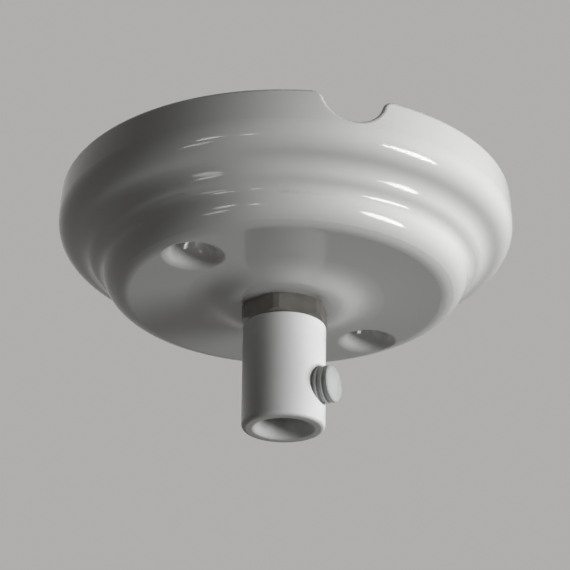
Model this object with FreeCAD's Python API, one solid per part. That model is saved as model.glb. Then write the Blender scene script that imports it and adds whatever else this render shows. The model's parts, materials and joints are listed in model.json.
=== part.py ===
"""Porcelain ceiling rose with a cord grip, hanging below the ceiling.

The origin is the centre of the rim, in the plane where it meets the ceiling.
+Z points up and the cable notch in the rim faces -Y. Lengths are in millimetres.
"""
import FreeCAD, Part
import math
import os

Vec = FreeCAD.Vector
SAME_PLACE = 1e-4           # edges nearer than this are taken as one place

# Porcelain cup, outside
RIM_RADIUS = 50.2
WALL_BULGE = 0.35           # how far the side swells past the rim
CUP_DEPTH = 23.1            # rim plane down to the face
BOSS_FOOT_RADIUS = 21.8
BOSS_STEEP_RADIUS = 15.0    # where the boss slopes most
BOSS_RISE = 1.9
NUT_SEAT_RADIUS = 10.5

# The side turns under to the face through rounds and hollows that run into each other.
# Each angle, in degrees, is how far the surface has turned from upright where that one ends.
SHOULDER_ROUND = 5.6
SHOULDER_ANGLE = 73.5       # degrees
UPPER_HOLLOW_ROUND = 5.5
UPPER_HOLLOW_ANGLE = 33.6   # degrees
STEP_ROUND = 4.5
STEP_ANGLE = 61.7           # degrees
LOWER_HOLLOW_ROUND = 3.4
LOWER_HOLLOW_ANGLE = 13.2   # degrees
LIP_ROUND = 6.2
LIP_ANGLE = 62.0            # degrees
LIP_EDGE_ROUND = 6.0        # ends level with the face

# Porcelain cup, inside
RIM_WALL = 5.2
LIP_WALL = 6.5              # narrowest ring above the lip to the edge of the floor
CAVITY_SIDE_HEIGHT = 5.0
FACE_THICKNESS = 6.6
CAVITY_ROUNDING = 2.0
RIM_ROUNDING = 0.8

# Cable notch in the rim
NOTCH_WIDTH = 13.0
NOTCH_DEPTH = 6.3
NOTCH_CORNER_ROUNDING = 2.3

# Fixing holes through the face
HOLE_SPACING = 57.6
HOLE_ANGLE = 32.8           # degrees from +X to one of the two holes
HOLE_RADIUS = 2.75
COUNTERSINK_RADIUS = 7.0    # where the mouth's rounded edge runs out into the face
COUNTERSINK_CONE_RADIUS = 5.5  # where its cone would meet the face if that edge were sharp
COUNTERSINK_DEPTH = 4.6
COUNTERSINK_RUN_OUT = 0.006  # how far the rounded edge goes on past the face

# Threaded tube and its nuts
TUBE_RADIUS = 5.0
TUBE_BORE_RADIUS = 4.0
TUBE_ABOVE_NUT = 2.5        # thread that stands above the back nut
THREAD_CLEARANCE = 0.05     # radial, between a male thread and its mate
CENTRE_HOLE_CLEARANCE = 0.25
LOCK_NUT_ACROSS_FLATS = 17.4
LOCK_NUT_TURNED_RADIUS = 9.68
LOCK_NUT_THICKNESS = 4.6
BACK_NUT_ACROSS_FLATS = 14.0
BACK_NUT_TURNED_RADIUS = 7.8
BACK_NUT_THICKNESS = 3.5
NUT_CHAMFER = 0.6           # height of the turned chamfer on the corners
NUT_ANGLE = 3.5             # degrees from +X to a corner of the lock nut
WASHER_RADIUS = 10.0
WASHER_THICKNESS = 1.0

# Cord grip
GRIP_TOP_RADIUS = 9.1
GRIP_MOUTH_END_RADIUS = 8.95
GRIP_LENGTH = 23.5
GRIP_BORE_RADIUS = 4.25
GRIP_SOCKET_DEPTH = 8.3
GRIP_TOP_ROUNDING = 0.4
GRIP_END_ROUNDING = 1.0
MOUTH_RADIUS = 6.8
MOUTH_EDGE_WIDTH = 0.8      # breadth of the round between the mouth and the flat end
MOUTH_DEPTH = 4.0
TUBE_END_GAP = 0.3          # tube end to the bottom of the grip's socket

# Clamp screw in the side of the grip
SCREW_RADIUS = 4.0
SCREW_CLEARANCE = 0.1
SCREW_HEIGHT = 8.55         # screw axis above the grip's lower end
SCREW_ANGLE = -41.0         # degrees from +X to the way the screw points out
SCREW_REACH = 11.9          # grip axis to the screw's outer face
SCREW_TIP_GAP = 0.05        # screw tip to the flex bore when backed off
SCREW_CHAMFER = 0.45

# Terminal block inside the cup
POLE_COUNT = 3
POLE_PITCH = 8.0
POLE_WIDTH = 7.2
BLOCK_LENGTH = 16.5         # along the wires
BLOCK_HEIGHT = 8.6
BLOCK_GAP = 2.6             # back washer to the near side of the block
BLOCK_ROUNDING = 0.8
WEB_LENGTH = 6.0
WEB_HEIGHT = 5.0
TOWER_RADIUS = 3.1
TOWER_HEIGHT = 12.5
TOWER_SPACING = 8.4
SLEEVE_RADIUS = 2.8
SLEEVE_BORE_RADIUS = 1.9
SLEEVE_LENGTH = 14.5
SLEEVE_HEIGHT = 4.4         # sleeve axis above the floor of the cup
SLEEVE_CLEARANCE = 0.05
TERMINAL_SCREW_RADIUS = 1.45
TERMINAL_SCREW_SINK = 1.2   # screw head below the top of its tower
TERMINAL_HOLE_CLEARANCE = 0.05
SLOT_WIDTH = 0.7
SLOT_DEPTH = 0.8


def round_points(radius, z, rounds):
    """First, middle and last point of each round in a chain that starts upright at radius and z.

    Each round has a radius, less than nothing for a hollow, and the angle where it ends.
    """
    chain = []
    start_angle = 0.0
    for size, end_angle in rounds:
        centre_radius = radius - size * math.cos(math.radians(start_angle))
        centre_z = z + size * math.sin(math.radians(start_angle))
        places = []
        for angle in (start_angle, (start_angle + end_angle) / 2, end_angle):
            turned = math.radians(angle)
            places.append((centre_radius + size * math.cos(turned), centre_z - size * math.sin(turned)))
        chain.append(places)
        radius, z = places[-1]
        start_angle = end_angle
    return chain


# Levels and radii that follow from the sizes above
side_radius = RIM_RADIUS + WALL_BULGE
side_rounds = [
    (SHOULDER_ROUND, SHOULDER_ANGLE),
    (-UPPER_HOLLOW_ROUND, UPPER_HOLLOW_ANGLE),
    (STEP_ROUND, STEP_ANGLE),
    (-LOWER_HOLLOW_ROUND, LOWER_HOLLOW_ANGLE),
    (LIP_ROUND, LIP_ANGLE),
    (LIP_EDGE_ROUND, 90),
]
face_z = -CUP_DEPTH
rounds_end_z = round_points(side_radius, 0, side_rounds)[-1][-1][1]
side_z = face_z - rounds_end_z
side_chain = round_points(side_radius, side_z, side_rounds)
lower_hollow, lip, lip_edge = side_chain[-3:]
neck_radius = lower_hollow[-1][0]
flat_radius = lip_edge[-1][0]
seat_z = face_z - BOSS_RISE
floor_z = face_z + FACE_THICKNESS
rim_inner_radius = RIM_RADIUS - RIM_WALL
floor_radius = neck_radius - LIP_WALL
centre_hole_radius = TUBE_RADIUS + CENTRE_HOLE_CLEARANCE
thread_hole_radius = TUBE_RADIUS + THREAD_CLEARANCE
washer_top_z = floor_z + WASHER_THICKNESS
back_nut_top_z = washer_top_z + BACK_NUT_THICKNESS
tube_top_z = back_nut_top_z + TUBE_ABOVE_NUT
grip_top_z = seat_z - LOCK_NUT_THICKNESS
socket_z = grip_top_z - GRIP_SOCKET_DEPTH
tube_end_z = socket_z + TUBE_END_GAP
grip_end_z = grip_top_z - GRIP_LENGTH
screw_z = grip_end_z + SCREW_HEIGHT
block_y = WASHER_RADIUS + BLOCK_GAP + BLOCK_LENGTH / 2


def point(radius, z):
    """A point of a turned profile, drawn in the XZ plane."""
    return Vec(radius, 0, z)


def turn(edges):
    """Revolve a closed profile about the Z axis into a solid."""
    face = Part.Face(Part.Wire(Part.sortEdges(edges)[0]))
    return face.revolve(Vec(0, 0, 0), Vec(0, 0, 1), 360)


def polyline(*points):
    """Straight edges through points in order."""
    return [Part.makeLine(start, end) for start, end in zip(points, points[1:])]


def bezier(*poles):
    """A smooth curve from the first pole to the last, drawn towards those between."""
    curve = Part.BezierCurve()
    curve.setPoles(list(poles))
    return curve.toShape()


def arc(first, middle, last):
    """A round edge through three places of a turned profile."""
    return Part.Arc(point(*first), point(*middle), point(*last)).toShape()


def ring_edges(shape, radius, z):
    """Circular edges of a shape, whole or part, about the Z axis at one radius and level."""
    centre = point(0, z)
    circles = [edge for edge in shape.Edges if isinstance(edge.Curve, Part.Circle)]
    return [edge for edge in circles
            if edge.Curve.Center.distanceToPoint(centre) < SAME_PLACE
            and abs(edge.Curve.Radius - radius) < SAME_PLACE]


def tube(outer, inner, bottom, top):
    """A round tube on the Z axis between two levels."""
    height = top - bottom
    return Part.makeCylinder(outer, height, point(0, bottom)).cut(
        Part.makeCylinder(inner, height, point(0, bottom)))


def porcelain_rose():
    """The cast cup: stepped outside, hollow inside, with its notch and holes."""
    rim_outer = point(RIM_RADIUS, 0)
    side_end = point(side_radius, side_z)
    flat_edge = point(flat_radius, face_z)
    boss_foot = point(BOSS_FOOT_RADIUS, face_z)
    boss_top = point(NUT_SEAT_RADIUS, seat_z)
    edges = [bezier(rim_outer, point(side_radius, side_z / 2), side_end)]
    edges += [arc(*places) for places in side_chain]
    edges += [
        Part.makeLine(flat_edge, boss_foot),
        bezier(boss_foot, point(BOSS_STEEP_RADIUS, face_z), point(BOSS_STEEP_RADIUS, seat_z), boss_top),
    ]
    edges += polyline(
        boss_top,
        point(centre_hole_radius, seat_z),
        point(centre_hole_radius, floor_z),
        point(floor_radius, floor_z),
        point(rim_inner_radius, -CAVITY_SIDE_HEIGHT),
        point(rim_inner_radius, 0),
        rim_outer,
    )
    cup = turn(edges)
    hollow = ring_edges(cup, floor_radius, floor_z)
    hollow += ring_edges(cup, rim_inner_radius, -CAVITY_SIDE_HEIGHT)
    cup = cup.makeFillet(CAVITY_ROUNDING, hollow)
    return with_fixing_holes(with_notch(cup))


def with_notch(cup):
    """Cut the round-bottomed cable notch through the rim and soften its edges."""
    radius = NOTCH_WIDTH / 2
    centre_z = radius - NOTCH_DEPTH
    outside = side_radius + NOTCH_DEPTH
    length = outside - rim_inner_radius / 2
    round_end = Part.makeCylinder(radius, length, Vec(0, -outside, centre_z), Vec(0, 1, 0))
    slot = Part.makeBox(NOTCH_WIDTH, length, NOTCH_DEPTH, Vec(-radius, -outside, centre_z))
    cup = cup.cut(round_end.fuse(slot))
    corners = [edge for edge in cup.Edges if is_notch_corner(edge)]
    cup = cup.makeFillet(NOTCH_CORNER_ROUNDING, corners)
    cup = cup.makeFillet(RIM_ROUNDING, [edge for edge in cup.Edges if is_outer_edge(edge)])
    return cup.makeFillet(RIM_ROUNDING, ring_edges(cup, rim_inner_radius, 0))


def is_notch_corner(edge):
    """Whether an edge is where the side of the notch meets the rim plane."""
    box = edge.BoundBox
    in_rim_plane = abs(box.ZMin) < SAME_PLACE and abs(box.ZMax) < SAME_PLACE
    return in_rim_plane and isinstance(edge.Curve, Part.Line)


def is_outer_edge(edge):
    """Whether an edge is the outer edge of the rim or of the notch in it."""
    box = edge.BoundBox
    if box.ZMin < -NOTCH_DEPTH - SAME_PLACE:
        return False
    ends = [vertex.Point for vertex in edge.Vertexes]
    return all(math.hypot(end.x, end.y) > RIM_RADIUS - SAME_PLACE for end in ends)


def countersunk_drill():
    """The shape of a fixing hole about the Z axis: its drill, its countersunk mouth and the air below."""
    mouth = point(COUNTERSINK_RADIUS, face_z - COUNTERSINK_RUN_OUT)
    throat = point(HOLE_RADIUS, face_z + COUNTERSINK_DEPTH)
    cone_edge = point(COUNTERSINK_CONE_RADIUS, face_z)
    quarter_cone = (throat - cone_edge) / 4
    edges = [bezier(mouth, cone_edge, cone_edge + quarter_cone, throat)]
    edges += polyline(
        throat,
        point(HOLE_RADIUS, 0),
        point(0, 0),
        point(0, seat_z),
        point(COUNTERSINK_RADIUS, seat_z),
        mouth,
    )
    return turn(edges)


def with_fixing_holes(cup):
    """Cut the two fixing holes with their countersunk mouths."""
    drill = countersunk_drill()
    for angle in (HOLE_ANGLE, HOLE_ANGLE + 180):
        turned = math.radians(angle)
        reach = HOLE_SPACING / 2
        cup = cup.cut(drill.translated(Vec(reach * math.cos(turned), reach * math.sin(turned), 0)))
    return cup


def hexagon_nut(across_flats, turned_radius, bottom, thickness, angle):
    """A hexagon nut with turned corners, chamfered above and below."""
    corner = across_flats / math.sqrt(3)
    corners = []
    for side in range(7):
        turned = math.radians(angle + 60 * side)
        corners.append(Vec(corner * math.cos(turned), corner * math.sin(turned), bottom))
    prism = Part.Face(Part.makePolygon(corners)).extrude(Vec(0, 0, thickness))
    flat = across_flats / 2
    top = bottom + thickness
    blank = turn(polyline(
        point(thread_hole_radius, bottom),
        point(flat, bottom),
        point(turned_radius, bottom + NUT_CHAMFER),
        point(turned_radius, top - NUT_CHAMFER),
        point(flat, top),
        point(thread_hole_radius, top),
        point(thread_hole_radius, bottom),
    ))
    return prism.common(blank)


def lock_nut():
    return hexagon_nut(LOCK_NUT_ACROSS_FLATS, LOCK_NUT_TURNED_RADIUS, grip_top_z,
                       LOCK_NUT_THICKNESS, NUT_ANGLE)


def back_nut():
    return hexagon_nut(BACK_NUT_ACROSS_FLATS, BACK_NUT_TURNED_RADIUS, washer_top_z,
                       BACK_NUT_THICKNESS, 0)


def back_washer():
    return tube(WASHER_RADIUS, centre_hole_radius, floor_z, washer_top_z)


def threaded_tube():
    return tube(TUBE_RADIUS, TUBE_BORE_RADIUS, tube_end_z, tube_top_z)


def screw_direction():
    """The way the clamp screw points out of the grip."""
    turned = math.radians(SCREW_ANGLE)
    return Vec(math.cos(turned), math.sin(turned), 0)


def cord_grip():
    """The moulded grip: threaded socket above, bell mouth below, screw hole in its side."""
    mouth_z = grip_end_z + MOUTH_DEPTH
    bore_end = point(GRIP_BORE_RADIUS, mouth_z)
    mouth_edge = point(MOUTH_RADIUS, grip_end_z)
    edges = [bezier(bore_end, point(GRIP_BORE_RADIUS, grip_end_z + MOUTH_DEPTH / 2),
                    point(MOUTH_RADIUS - MOUTH_EDGE_WIDTH, grip_end_z), mouth_edge)]
    edges += polyline(
        mouth_edge,
        point(GRIP_MOUTH_END_RADIUS, grip_end_z),
        point(GRIP_TOP_RADIUS, grip_top_z),
        point(thread_hole_radius, grip_top_z),
        point(thread_hole_radius, socket_z),
        point(GRIP_BORE_RADIUS, socket_z),
        bore_end,
    )
    grip = turn(edges)
    grip = grip.makeFillet(GRIP_TOP_ROUNDING, ring_edges(grip, GRIP_TOP_RADIUS, grip_top_z))
    grip = grip.makeFillet(GRIP_END_ROUNDING, ring_edges(grip, GRIP_MOUTH_END_RADIUS, grip_end_z))
    hole = Part.makeCylinder(SCREW_RADIUS + SCREW_CLEARANCE, 2 * GRIP_TOP_RADIUS,
                             point(0, screw_z), screw_direction())
    return grip.cut(hole)


def clamp_screw():
    """The screw in the grip's side, backed off so that its tip just clears the flex bore."""
    out = screw_direction()
    tip = GRIP_BORE_RADIUS + SCREW_TIP_GAP
    screw = Part.makeCylinder(SCREW_RADIUS, SCREW_REACH - tip, point(0, screw_z) + out * tip, out)
    rims = [edge for edge in screw.Edges if isinstance(edge.Curve, Part.Circle)]
    return screw.makeChamfer(SCREW_CHAMFER, rims)


def pole_centres():
    """Places of the terminal block's poles along X."""
    first = -POLE_PITCH * (POLE_COUNT - 1) / 2
    return [first + POLE_PITCH * pole for pole in range(POLE_COUNT)]


def tower_centres(poles):
    """Places of the screw towers, two on each pole."""
    half = TOWER_SPACING / 2
    return [(x, block_y + side) for x in poles for side in (-half, half)]


def screw_hole(x, y):
    """The hole for a terminal screw, from its sleeve's axis up past the tower."""
    foot = Vec(x, y, floor_z + SLEEVE_HEIGHT)
    return Part.makeCylinder(TERMINAL_SCREW_RADIUS + TERMINAL_HOLE_CLEARANCE, TOWER_HEIGHT, foot)


def along_wires(radius, length, x):
    """A cylinder on the axis of one pole's sleeve, centred on the block."""
    start = Vec(x, block_y - length / 2, floor_z + SLEEVE_HEIGHT)
    return Part.makeCylinder(radius, length, start, Vec(0, 1, 0))


def terminal_block():
    """The connector's moulded housing: a rounded body for each pole, webs and screw towers."""
    block = None
    for x in pole_centres():
        corner = Vec(x - POLE_WIDTH / 2, block_y - BLOCK_LENGTH / 2, floor_z)
        pole = Part.makeBox(POLE_WIDTH, BLOCK_LENGTH, BLOCK_HEIGHT, corner)
        top_z = floor_z + BLOCK_HEIGHT
        top_edges = [edge for edge in pole.Edges if edge.BoundBox.ZMin > top_z - SAME_PLACE]
        pole = pole.makeFillet(BLOCK_ROUNDING, top_edges)
        block = pole if block is None else block.fuse(pole)
    span = POLE_PITCH * (POLE_COUNT - 1)
    web_corner = Vec(-span / 2, block_y - WEB_LENGTH / 2, floor_z)
    block = block.fuse(Part.makeBox(span, WEB_LENGTH, WEB_HEIGHT, web_corner))
    towers = tower_centres(pole_centres())
    for x, y in towers:
        block = block.fuse(Part.makeCylinder(TOWER_RADIUS, TOWER_HEIGHT, Vec(x, y, floor_z)))
    for x in pole_centres():
        block = block.cut(along_wires(SLEEVE_RADIUS + SLEEVE_CLEARANCE, BLOCK_LENGTH, x))
    for x, y in towers:
        block = block.cut(screw_hole(x, y))
    return block.removeSplitter()


def terminal_sleeves():
    """The brass sleeves that join the wires, one in each pole."""
    sleeves = []
    for x in pole_centres():
        sleeve = along_wires(SLEEVE_RADIUS, SLEEVE_LENGTH, x)
        sleeve = sleeve.cut(along_wires(SLEEVE_BORE_RADIUS, SLEEVE_LENGTH, x))
        for tower_x, tower_y in tower_centres([x]):
            sleeve = sleeve.cut(screw_hole(tower_x, tower_y))
        sleeves.append(sleeve)
    return Part.makeCompound(sleeves)


def terminal_screws():
    """The slotted screws in the towers, with their tips at the sleeves' bores."""
    screws = []
    tip_z = floor_z + SLEEVE_HEIGHT + SLEEVE_BORE_RADIUS
    head_z = floor_z + TOWER_HEIGHT - TERMINAL_SCREW_SINK
    for x, y in tower_centres(pole_centres()):
        screw = Part.makeCylinder(TERMINAL_SCREW_RADIUS, head_z - tip_z, Vec(x, y, tip_z))
        slot_corner = Vec(x - SLOT_WIDTH / 2, y - TERMINAL_SCREW_RADIUS, head_z - SLOT_DEPTH)
        slot = Part.makeBox(SLOT_WIDTH, 2 * TERMINAL_SCREW_RADIUS, SLOT_DEPTH, slot_corner)
        screws.append(screw.cut(slot))
    return Part.makeCompound(screws)


NODES = [porcelain_rose, threaded_tube, lock_nut, back_nut, back_washer, cord_grip, clamp_screw,
         terminal_block, terminal_sleeves, terminal_screws]

os.makedirs("parts", exist_ok=True)
for make in NODES:
    shape = make()
    shape.exportStep("parts/" + make.__name__ + ".step")
    print(make.__name__, shape.isValid(), len(shape.Solids), round(shape.Volume, 1))
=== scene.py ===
"""Looks for the porcelain ceiling rose: camera, light, finishes and threads.

Everything is in metres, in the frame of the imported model: the origin is the centre of
the rim in the ceiling plane, +Z points up and the cable notch faces -Y.
"""
import json
import math

import bpy
from mathutils import Matrix, Vector


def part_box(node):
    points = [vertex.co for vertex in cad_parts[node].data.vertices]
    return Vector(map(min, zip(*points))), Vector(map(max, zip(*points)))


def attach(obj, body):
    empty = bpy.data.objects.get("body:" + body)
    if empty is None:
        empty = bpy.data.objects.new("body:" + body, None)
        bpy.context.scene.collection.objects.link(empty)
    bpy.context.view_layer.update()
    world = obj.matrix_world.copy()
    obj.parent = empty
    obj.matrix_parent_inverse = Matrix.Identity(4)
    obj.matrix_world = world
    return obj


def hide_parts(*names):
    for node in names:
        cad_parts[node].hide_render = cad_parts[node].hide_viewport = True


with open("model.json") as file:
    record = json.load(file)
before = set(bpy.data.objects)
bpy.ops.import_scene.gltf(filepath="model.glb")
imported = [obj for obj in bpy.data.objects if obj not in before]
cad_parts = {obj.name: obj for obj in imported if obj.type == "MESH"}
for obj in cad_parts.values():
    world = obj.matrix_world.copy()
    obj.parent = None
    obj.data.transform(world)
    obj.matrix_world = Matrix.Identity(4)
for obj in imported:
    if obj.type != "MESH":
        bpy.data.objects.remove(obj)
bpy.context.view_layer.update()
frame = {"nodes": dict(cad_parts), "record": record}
nodes = frame["nodes"]
scene = bpy.context.scene
MM = 0.001

# Camera, as fitted to the photograph's frame of 570 by 570
FRAME_PIXELS = 570
FOCAL_PIXELS = 1600
SENSOR_WIDTH_MM = 36
CAMERA_AZIMUTH = -15.5
CAMERA_PITCH = 25.69
CAMERA_ROLL = 0.67
CAMERA_DISTANCE = 0.3622
CAMERA_CLIP = (0.01, 20)
ORIGIN_PIXEL = (285.0, 208.7)

# Lamps: directions are azimuth from -Y towards +X, and elevation, in degrees
LAMP_DISTANCE = 0.9
LAMP_TARGET = (0, 0, -0.02)
WHITE = (1, 1, 1)
LAMPS = [                   # name, direction, size, power, colour, shades the rose, shows in its glaze
    ("key_light", (48, -30.5), (0.45, 0.20), 1.7, WHITE, False, True),
    ("soft_light", (48, -10.5), (0.55, 0.25), 7.8, (0.98, 0.995, 1.0), True, False),
    ("back_light", (194, 36), (0.8, 0.5), 7.5, WHITE, True, False),
    ("pane_light_0", (-53, -29), (0.20, 0.09), 0.26, WHITE, False, True),
    ("pane_light_1", (-64, -42), (0.22, 0.09), 0.20, WHITE, False, True),
    ("pane_light_2", (-34, -33), (0.10, 0.06), 0.09, WHITE, False, True),
]

# Surround
AMBIENT = 0.03
AMBIENT_COLOR = (1.0, 0.95, 0.87)
BACKDROP = (0.43, 0.425, 0.415)
FLOOR_COLOR = (0.70, 0.70, 0.69)
FLOOR_ROUGHNESS = 0.9
FLOOR_Z = -2.4
FLOOR_WIDTH = 16.0

# Levels of noise at which a finish reaches the first and the second of its two values
NOISE_ENDS = (0.3, 0.7)

# Porcelain: pairs are the two ends of an uneven colour or roughness, and lengths are in millimetres
GLAZE_COLORS = ((0.775, 0.772, 0.755), (0.805, 0.803, 0.79))
GLAZE_ROUGHNESS = (0.08, 0.115)
GLAZE_IOR = 1.52
GLAZE_CLOUD = 26
GLAZE_SMEAR = 14
GLAZE_WAVE = 9
CLAY_COLORS = ((0.75, 0.735, 0.695), (0.79, 0.775, 0.74))
CLAY_ROUGHNESS = (0.55, 0.7)
CLAY_GRAIN = 0.6
RIM_GLAZE_END = -0.35       # level above which the rim is bare of glaze
RIM_GLAZE_FADE = 0.25

# Shading that softens the mouths of the fixing holes, in millimetres
HOLE_ANGLE = 32.8           # degrees from +X to one of the two holes
HOLE_SOFT_CENTRE = 4.9      # above the porcelain's lowest level
HOLE_SOFT_REACH = (7.45, 3.3)  # from that centre, where the softening starts and where it is full
HOLE_SOFT_DEPTH = 1.15
HOLE_SOFT_TOP = -17.5       # level between the countersink and the floor of the cup
HOLE_SOFT_FADE = 0.5

# Moulded plastic
NYLON_ROUGHNESS = (0.41, 0.52)
NYLON_SHADES = (0.96, 1.02)
NYLON_GRAIN = 0.35
NYLON_TONE = 6

# Metal: how far the uneven plate goes from its own colour and roughness
METAL_SHADES = (-0.12, 0.08)
METAL_DULLNESS = (0.1, -0.06)
METAL_PATCH = 3.0
METAL_LINES = 2.0
METAL_LINE_STRETCH = (1, 1, 30)

# Threads, in millimetres, on the sizes of the solids that they stand for
SCREW_RADIUS = 4.0
SCREW_LENGTH = 7.6
SCREW_PITCH = 1.3
SCREW_THREAD_DEPTH = 0.32
SCREW_CHAMFER = 0.3
SCREW_RIM = 0.35            # left uncut at the outer end
TUBE_RADIUS = 5.0
TUBE_BORE_RADIUS = 4.0
TUBE_PITCH = 1.0
TUBE_THREAD_DEPTH = 0.5
TUBE_THREAD_LENGTH = 7.0
TUBE_CHAMFER = 0.5
THREAD_COLUMNS = 96
THREAD_ROWS_PER_PITCH = 18
FLANK_START = 0.80          # of half a pitch from the root, where the crest ends
FLANK_WIDTH = 0.62          # of half a pitch
SHARP_ANGLE = 48            # degrees between faces that meet in a crease


def direction(azimuth, elevation):
    """The unit vector towards an azimuth and elevation in degrees."""
    a, e = math.radians(azimuth), math.radians(elevation)
    return Vector((math.sin(a) * math.cos(e), -math.cos(a) * math.cos(e), math.sin(e)))


def make_camera():
    """The camera at the photograph's viewing angle."""
    back = direction(CAMERA_AZIMUTH, -CAMERA_PITCH)
    forward = -back
    right = forward.cross(Vector((0, 0, 1))).normalized()
    up = right.cross(forward)
    half = FRAME_PIXELS / 2
    across = (ORIGIN_PIXEL[0] - half) / FOCAL_PIXELS
    above = (half - ORIGIN_PIXEL[1]) / FOCAL_PIXELS
    roll = math.radians(CAMERA_ROLL)
    across_axis = right * math.cos(roll) + up * math.sin(roll)
    up_axis = up * math.cos(roll) - right * math.sin(roll)
    data = bpy.data.cameras.new("camera")
    data.sensor_width = SENSOR_WIDTH_MM
    data.lens = SENSOR_WIDTH_MM * FOCAL_PIXELS / FRAME_PIXELS
    data.clip_start, data.clip_end = CAMERA_CLIP
    camera = bpy.data.objects.new("camera", data)
    scene.collection.objects.link(camera)
    turned = Matrix((across_axis, up_axis, back)).transposed().to_4x4()
    place = -(forward + right * across + up * above) * CAMERA_DISTANCE
    camera.matrix_world = Matrix.Translation(place) @ turned
    scene.camera = camera


def make_lamp(name, way, size, power, color, shades, mirrored):
    """An oval lamp that looks at the middle of the rose and shades it, shows in its glaze, or both."""
    data = bpy.data.lights.new(name, "AREA")
    data.shape = "ELLIPSE"
    data.size, data.size_y = size
    data.energy = power
    data.color = color
    lamp = bpy.data.objects.new(name, data)
    lamp.visible_diffuse = shades
    lamp.visible_glossy = mirrored
    scene.collection.objects.link(lamp)
    place = direction(*way) * LAMP_DISTANCE
    lamp.location = place
    lamp.rotation_mode = "QUATERNION"
    lamp.rotation_quaternion = (Vector(LAMP_TARGET) - place).to_track_quat("-Z", "Y")


def pale_when_seen(tree, hidden, target):
    """Show the plain backdrop to the camera and to reflections, and the hidden shader to the light."""
    link = tree.links.new
    path = tree.nodes.new("ShaderNodeLightPath")
    backdrop = tree.nodes.new("ShaderNodeBackground" if hidden.bl_idname == "ShaderNodeBackground"
                              else "ShaderNodeEmission")
    backdrop.inputs["Color"].default_value = (*BACKDROP, 1)
    seen = path.outputs["Is Camera Ray"]
    for other in ("Is Glossy Ray", "Is Transmission Ray"):
        either = tree.nodes.new("ShaderNodeMath")
        either.operation = "MAXIMUM"
        link(seen, either.inputs[0])
        link(path.outputs[other], either.inputs[1])
        seen = either.outputs[0]
    mix = tree.nodes.new("ShaderNodeMixShader")
    link(seen, mix.inputs["Fac"])
    link(hidden.outputs[0], mix.inputs[1])
    link(backdrop.outputs[0], mix.inputs[2])
    link(mix.outputs[0], target)


def make_world():
    """An even dim surround in front of a plain pale backdrop."""
    world = bpy.data.worlds.new("surround")
    world.use_nodes = True
    scene.world = world
    tree = world.node_tree
    tree.nodes.clear()
    out = tree.nodes.new("ShaderNodeOutputWorld")
    ambient = tree.nodes.new("ShaderNodeBackground")
    ambient.inputs["Color"].default_value = (*AMBIENT_COLOR, 1)
    ambient.inputs["Strength"].default_value = AMBIENT
    pale_when_seen(tree, ambient, out.inputs["Surface"])


def make_floor():
    """A plain pale floor, a room's height below the rose."""
    mesh = bpy.data.meshes.new("floor")
    half = FLOOR_WIDTH / 2
    corners = [(x, y, FLOOR_Z) for x, y in ((-half, -half), (half, -half), (half, half), (-half, half))]
    mesh.from_pydata(corners, [], [(0, 1, 2, 3)])
    floor = bpy.data.objects.new("floor", mesh)
    scene.collection.objects.link(floor)
    material = bpy.data.materials.new("floor_paint")
    material.use_nodes = True
    tree = material.node_tree
    paint = tree.nodes["Principled BSDF"]
    paint.inputs["Base Color"].default_value = (*FLOOR_COLOR, 1)
    paint.inputs["Roughness"].default_value = FLOOR_ROUGHNESS
    pale_when_seen(tree, paint, tree.nodes["Material Output"].inputs["Surface"])
    mesh.materials.append(material)


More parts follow.
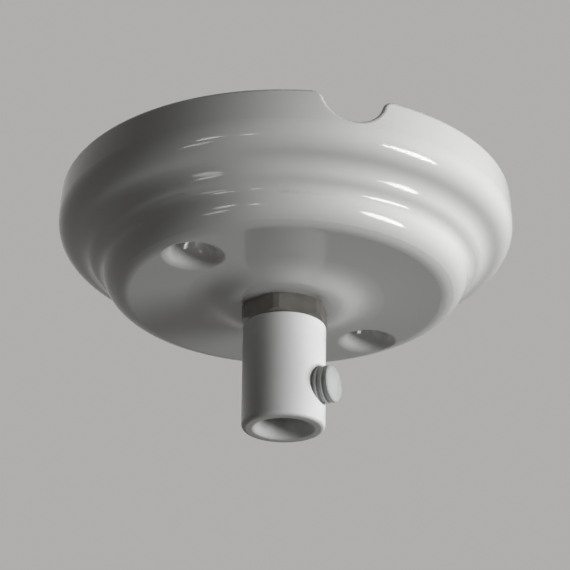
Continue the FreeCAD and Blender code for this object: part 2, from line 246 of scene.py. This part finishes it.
class Finish:
    """A procedural material on one Principled shader."""

    def __init__(self, name, metallic=0.0):
        self.material = bpy.data.materials.new(name)
        self.material.use_nodes = True
        self.tree = self.material.node_tree
        self.shader = self.tree.nodes["Principled BSDF"]
        self.set("Metallic", metallic)
        self.place = self.node("ShaderNodeTexCoord").outputs["Object"]

    def node(self, kind, **settings):
        made = self.tree.nodes.new(kind)
        for key, value in settings.items():
            setattr(made, key, value)
        return made

    def link(self, output, target):
        self.tree.links.new(output, target)

    def set(self, socket, value):
        """Give the shader a value that is the same all over."""
        self.shader.inputs[socket].default_value = value

    def feed(self, socket, output):
        """Give the shader a value that varies over the surface."""
        self.link(output, self.shader.inputs[socket])

    def noise(self, size_mm, detail, stretch=(1, 1, 1)):
        """Noise whose features are about size_mm across."""
        texture = self.node("ShaderNodeTexNoise")
        texture.inputs["Scale"].default_value = 1 / (size_mm * MM)
        texture.inputs["Detail"].default_value = detail
        mapping = self.node("ShaderNodeMapping")
        mapping.inputs["Scale"].default_value = stretch
        self.link(self.place, mapping.inputs["Vector"])
        self.link(mapping.outputs["Vector"], texture.inputs["Vector"])
        return texture.outputs["Fac"]

    def vary(self, noise, first, second):
        """From a first to a second colour or grey level as the noise rises."""
        made = self.node("ShaderNodeValToRGB")
        for element, position, color in zip(made.color_ramp.elements, NOISE_ENDS, (first, second)):
            if not isinstance(color, tuple):
                color = (color, color, color)
            element.position = position
            element.color = (*color, 1)
        self.link(noise, made.inputs["Fac"])
        return made.outputs["Color"]

    def ease(self, length, start_mm, end_mm):
        """0 where a length is at its start and 1 where it is at its end, eased between."""
        step = self.node("ShaderNodeMapRange", interpolation_type="SMOOTHSTEP")
        step.inputs["From Min"].default_value = start_mm * MM
        step.inputs["From Max"].default_value = end_mm * MM
        self.link(length, step.inputs["Value"])
        return step.outputs["Result"]

    def above(self, level_mm, soft_mm):
        """0 below a level and 1 above it, with a soft step between."""
        parts = self.node("ShaderNodeSeparateXYZ")
        self.link(self.place, parts.inputs["Vector"])
        return self.ease(parts.outputs["Z"], level_mm - soft_mm, level_mm + soft_mm)

    def below(self, level_mm, soft_mm):
        """1 below a level and 0 above it, with a soft step between."""
        return self.above(level_mm, -soft_mm)

    def near(self, places, far_mm, close_mm):
        """0 beyond far_mm from the nearest place and 1 within close_mm of it, eased between."""
        gaps = []
        for place in places:
            gap = self.node("ShaderNodeVectorMath", operation="DISTANCE")
            gap.inputs[1].default_value = place
            self.link(self.place, gap.inputs[0])
            gaps.append(gap.outputs["Value"])
        nearest = gaps[0]
        for other in gaps[1:]:
            lesser = self.node("ShaderNodeMath", operation="MINIMUM")
            self.link(nearest, lesser.inputs[0])
            self.link(other, lesser.inputs[1])
            nearest = lesser.outputs["Value"]
        return self.ease(nearest, far_mm, close_mm)

    def blend(self, share, first, second):
        """The first colour where the share is 0 and the second where it is 1."""
        made = self.node("ShaderNodeMix", data_type="RGBA")
        self.link(share, made.inputs[0])
        self.link(first, made.inputs[6])
        self.link(second, made.inputs[7])
        return made.outputs[2]

    def bump(self, height, strength, distance_mm, before=None):
        """Normals tilted by a height, on top of those before, with one strength or a varying one."""
        made = self.node("ShaderNodeBump")
        if isinstance(strength, float):
            made.inputs["Strength"].default_value = strength
        else:
            self.link(strength, made.inputs["Strength"])
        made.inputs["Distance"].default_value = distance_mm * MM
        self.link(height, made.inputs["Height"])
        if before is not None:
            self.link(before, made.inputs["Normal"])
        return made.outputs["Normal"]

    def paint(self, *objects):
        for thing in objects:
            thing.data.materials.clear()
            thing.data.materials.append(self.material)


def smooth_step(value):
    """Ease from 0 to 1."""
    value = min(max(value, 0.0), 1.0)
    return value * value * (3 - 2 * value)


def thread_cut(along, pitch):
    """How deep the thread is cut, from 0 on its crest to 1 at its root."""
    from_root = abs(2 * (along / pitch % 1.0) - 1)
    return smooth_step((FLANK_START - from_root) / FLANK_WIDTH)


def threaded_mesh(name, rows, bore):
    """A bar along +Z through rows of a level and a radius for each column; lengths in mm."""
    columns = len(rows[0][1])
    if bore:
        rows = rows + [(rows[-1][0], [bore] * columns), (rows[0][0], [bore] * columns)]
    vertices = []
    for z, radii in rows:
        for column, radius in enumerate(radii):
            turned = 2 * math.pi * column / columns
            vertices.append((radius * MM * math.cos(turned), radius * MM * math.sin(turned), z * MM))
    faces = []
    for row in range(len(rows) if bore else len(rows) - 1):
        low = row * columns
        high = (row + 1) % len(rows) * columns
        for column in range(columns):
            after = (column + 1) % columns
            faces.append((low + column, low + after, high + after, high + column))
    if not bore:
        last = (len(rows) - 1) * columns
        faces.append(tuple(reversed(range(columns))))
        faces.append(tuple(range(last, last + columns)))
    mesh = bpy.data.meshes.new(name)
    mesh.from_pydata(vertices, [], faces)
    mesh.shade_smooth()
    mesh.set_sharp_from_angle(angle=math.radians(SHARP_ANGLE))
    piece = bpy.data.objects.new(name, mesh)
    scene.collection.objects.link(piece)
    return piece


def thread_rows(start, length, radius, pitch, depth, chamfer, rim=0.0):
    """Rows of a threaded stretch that ends in a chamfer, with a rim before its end left uncut."""
    end = start + length
    count = round(length / pitch * THREAD_ROWS_PER_PITCH)
    rows = []
    for number in range(count + 1):
        z = start + length * number / count
        fade = smooth_step((end - z - rim) / (pitch / 2)) if rim else 1.0
        bevel = max(0.0, chamfer - (end - z))
        radii = []
        for column in range(THREAD_COLUMNS):
            along = z + pitch * column / THREAD_COLUMNS
            cut = depth * fade * thread_cut(along, pitch)
            radii.append(radius - max(cut, bevel))
        rows.append((z, radii))
    return rows


def clamp_screw_thread():
    """The plastic clamp screw with its coarse thread and plain round end."""
    low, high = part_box("clamp_screw")
    middle = (Vector(low) + Vector(high)) / 2
    out = Vector(frame["record"]["behaviour"]["joints"][0]["axis"]).normalized()
    rows = thread_rows(0.0, SCREW_LENGTH, SCREW_RADIUS, SCREW_PITCH, SCREW_THREAD_DEPTH,
                       SCREW_CHAMFER, SCREW_RIM)
    piece = threaded_mesh("clamp_screw_thread", rows, 0.0)
    foot = middle - out * (SCREW_LENGTH * MM / 2)
    piece.data.transform(Matrix.Translation(foot) @ out.to_track_quat("Z", "Y").to_matrix().to_4x4())
    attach(piece, "clamp_screw")
    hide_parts("clamp_screw")
    return piece


def lamp_tube_thread():
    """The hollow lamp tube, with its fine thread cut at the end that stands in the cup."""
    low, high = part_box("threaded_tube")
    start = (high[2] - low[2]) / MM - TUBE_THREAD_LENGTH
    plain_end = ((0.0, TUBE_RADIUS - TUBE_CHAMFER), (TUBE_CHAMFER, TUBE_RADIUS))
    rows = [(z, [radius] * THREAD_COLUMNS) for z, radius in plain_end]
    rows += thread_rows(start, TUBE_THREAD_LENGTH, TUBE_RADIUS, TUBE_PITCH, TUBE_THREAD_DEPTH,
                        TUBE_CHAMFER)
    piece = threaded_mesh("lamp_tube_thread", rows, TUBE_BORE_RADIUS)
    piece.data.transform(Matrix.Translation((0, 0, low[2])))
    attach(piece, "rose")
    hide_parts("threaded_tube")
    return piece


def hole_places():
    """Places inside each fixing hole, on its axis."""
    mount = next(entry for entry in frame["record"]["mounts"] if entry["name"] == "fixing_holes")
    reach = mount["dims"]["pcd_mm"] * MM / 2
    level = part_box("porcelain_rose")[0][2] + HOLE_SOFT_CENTRE * MM
    turned = math.radians(HOLE_ANGLE)
    across, along = reach * math.cos(turned), reach * math.sin(turned)
    return [(across, along, level), (-across, -along, level)]


def porcelain():
    """White porcelain under a clear, slightly wavy glaze, bare on the rim that stood in the kiln."""
    finish = Finish("glazed_porcelain")
    glaze = finish.vary(finish.noise(GLAZE_CLOUD, detail=3), *GLAZE_COLORS)
    clay = finish.vary(finish.noise(CLAY_GRAIN, detail=4), *CLAY_COLORS)
    bare = finish.above(RIM_GLAZE_END, RIM_GLAZE_FADE)
    finish.feed("Base Color", finish.blend(bare, glaze, clay))
    smear = finish.vary(finish.noise(GLAZE_SMEAR, detail=3), *GLAZE_ROUGHNESS)
    matt = finish.vary(finish.noise(CLAY_GRAIN, detail=4), *CLAY_ROUGHNESS)
    finish.feed("Roughness", finish.blend(bare, smear, matt))
    finish.set("IOR", GLAZE_IOR)
    wavy = finish.bump(finish.noise(GLAZE_WAVE, detail=1.5), strength=0.12, distance_mm=0.2)
    mouths = finish.near(hole_places(), *HOLE_SOFT_REACH)
    outside = finish.below(HOLE_SOFT_TOP, HOLE_SOFT_FADE)
    finish.feed("Normal", finish.bump(mouths, outside, HOLE_SOFT_DEPTH, before=wavy))
    return finish


def nylon(name, color):
    """Moulded plastic with a fine satin grain."""
    finish = Finish(name)
    grain = finish.noise(NYLON_GRAIN, detail=3)
    tone = finish.noise(NYLON_TONE, detail=2)
    shades = [tuple(channel * shade for channel in color) for shade in NYLON_SHADES]
    finish.feed("Base Color", finish.vary(tone, *shades))
    finish.feed("Roughness", finish.vary(grain, *NYLON_ROUGHNESS))
    finish.feed("Normal", finish.bump(grain, strength=0.12, distance_mm=0.05))
    return finish


def metal(name, color, roughness, uneven=1.0, tarnish=None):
    """Plated or turned metal with fine tool lines, uneven dullness and sometimes a tarnish."""
    finish = Finish(name, metallic=1.0)
    lines = finish.noise(METAL_LINES, detail=4, stretch=METAL_LINE_STRETCH)
    patch = finish.noise(METAL_PATCH, detail=4)
    shades = [tuple(channel * (1 + shade * uneven) for channel in color) for shade in METAL_SHADES]
    finish.feed("Base Color", finish.vary(patch, *shades))
    finish.feed("Roughness", finish.vary(patch, *[roughness + more * uneven for more in METAL_DULLNESS]))
    finish.feed("Normal", finish.bump(lines, strength=0.15 * uneven, distance_mm=0.04))
    if tarnish:
        least, most = tarnish
        finish.feed("Metallic", finish.vary(patch, 1 - most, 1 - least))
    return finish


make_camera()
for lamp in LAMPS:
    make_lamp(*lamp)
make_world()
make_floor()
zinc = metal("plated_steel", (0.62, 0.60, 0.55), roughness=0.3)
nickel = metal("nickel_plate", (0.225, 0.215, 0.195), roughness=0.22, uneven=0.4, tarnish=(0.35, 0.55))
porcelain().paint(nodes["porcelain_rose"])
nylon("white_nylon", (0.80, 0.80, 0.79)).paint(nodes["cord_grip"])
nylon("screw_nylon", (0.60, 0.61, 0.60)).paint(clamp_screw_thread(), nodes["clamp_screw"])
nickel.paint(nodes["lock_nut"])
zinc.paint(lamp_tube_thread(), nodes["threaded_tube"], nodes["back_nut"], nodes["back_washer"])
nylon("terminal_plastic", (0.78, 0.77, 0.72)).paint(nodes["terminal_block"])
metal("terminal_brass", (0.72, 0.55, 0.26), roughness=0.28).paint(nodes["terminal_sleeves"])
metal("terminal_steel", (0.60, 0.58, 0.52), roughness=0.3).paint(nodes["terminal_screws"])

scene.view_settings.view_transform = "Standard"
